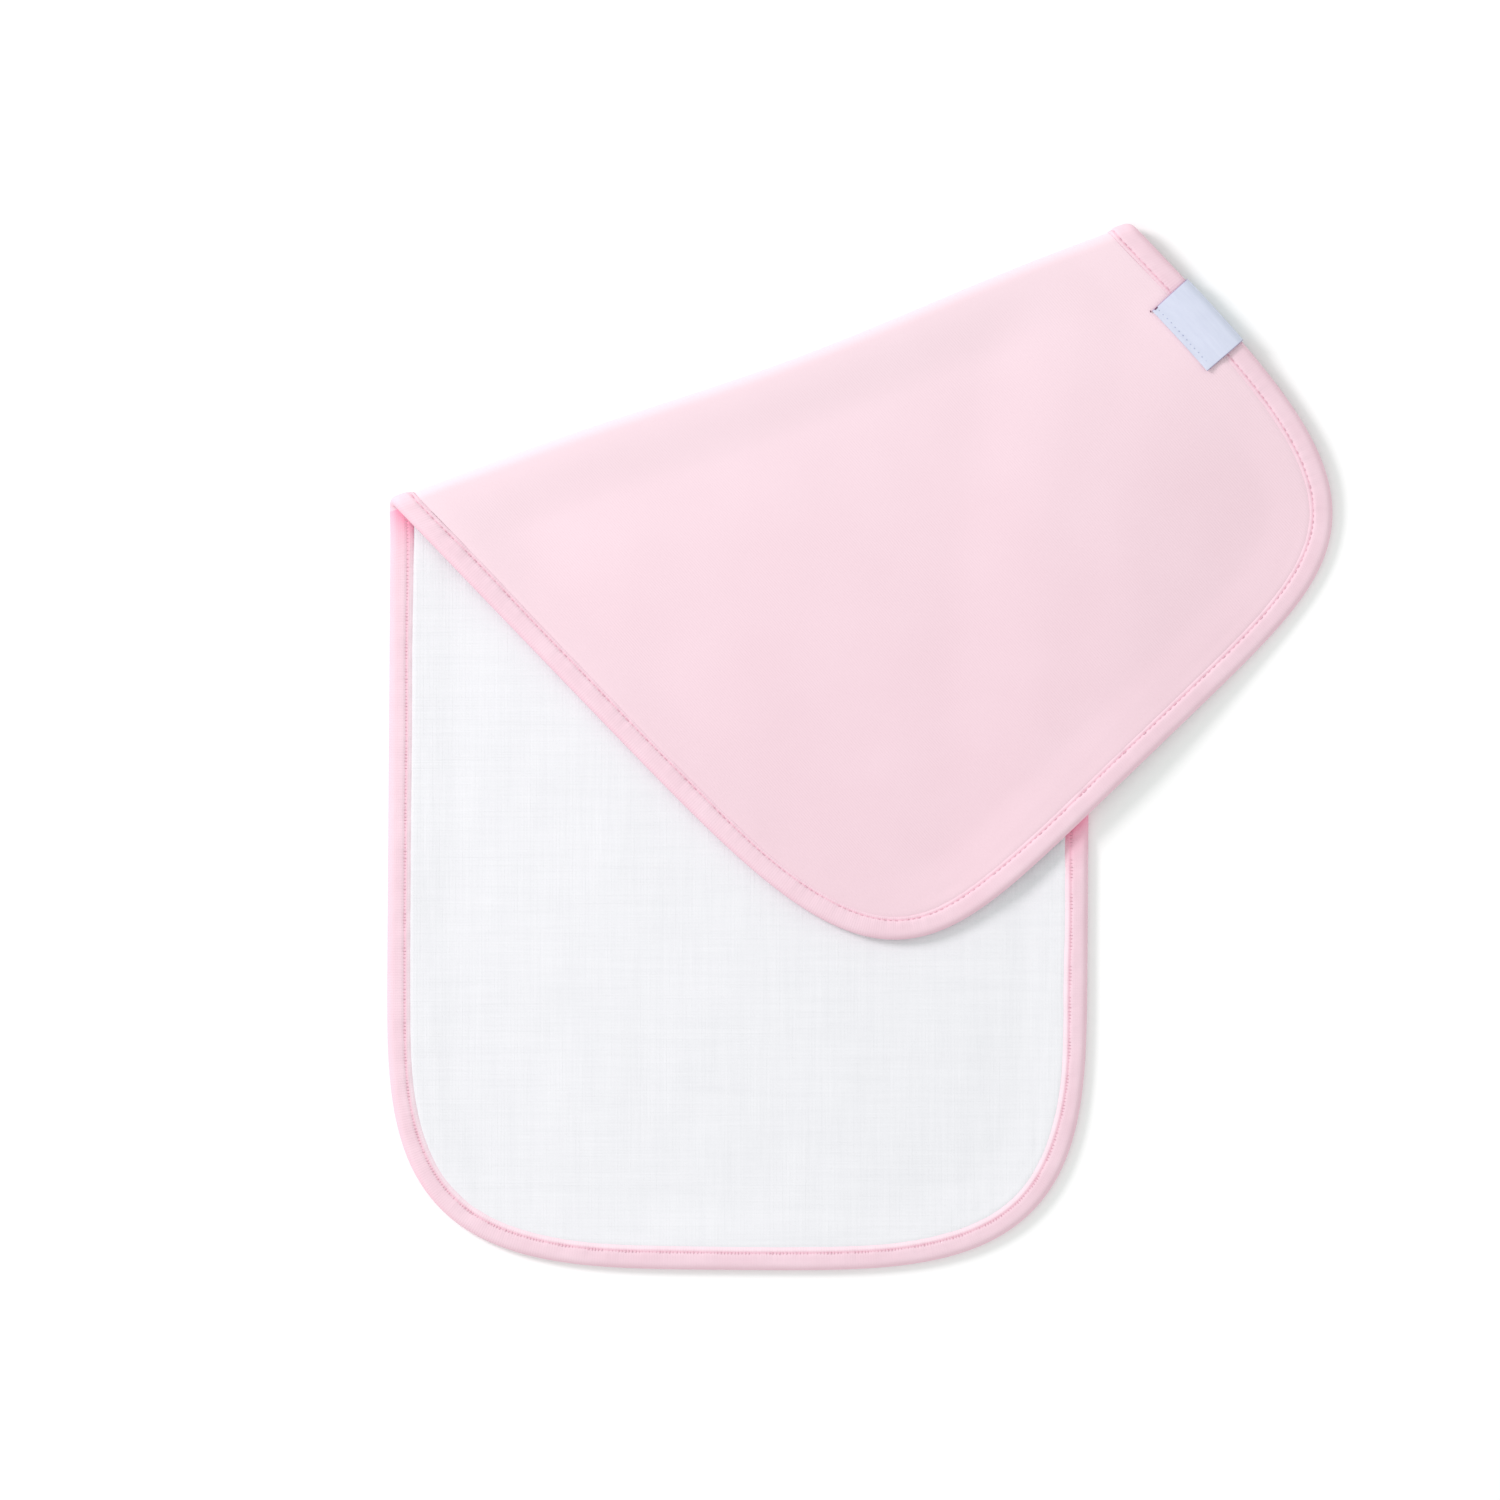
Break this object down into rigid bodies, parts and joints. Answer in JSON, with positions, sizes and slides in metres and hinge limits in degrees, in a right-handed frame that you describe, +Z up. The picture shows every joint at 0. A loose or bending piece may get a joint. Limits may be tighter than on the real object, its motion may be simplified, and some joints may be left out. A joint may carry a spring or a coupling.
{
  "type": "burp cloth folded once",
  "caption": "Burp cloth with large rounded corners and a bound edge, a knitted face and a gauze face, lying flat and folded on a slant, with a small blank ribbon label on the edge.",
  "frame": {"origin": "middle of the bounding box, on the surface that the cloth lies on", "axes": "+X to the right and +Y away along the lower half, seen from above with the crease at the far side; +Z up"},
  "size_m": [0.3429, 0.3796, 0.0103],
  "materials": {
    "jersey": "fine knitted cotton jersey, matt, pale pink",
    "muslin": "soft white cotton gauze, matt, with faint slubs",
    "tape": "knitted cotton tape, stitched, pale pink",
    "ribbon": "woven satin ribbon, pale lavender blue, blank"
  },
  "bodies": {
    "root": {"jersey_panel": "jersey", "muslin_panel": "muslin", "binding": "tape", "label": "ribbon"}
  },
  "joints": []
}
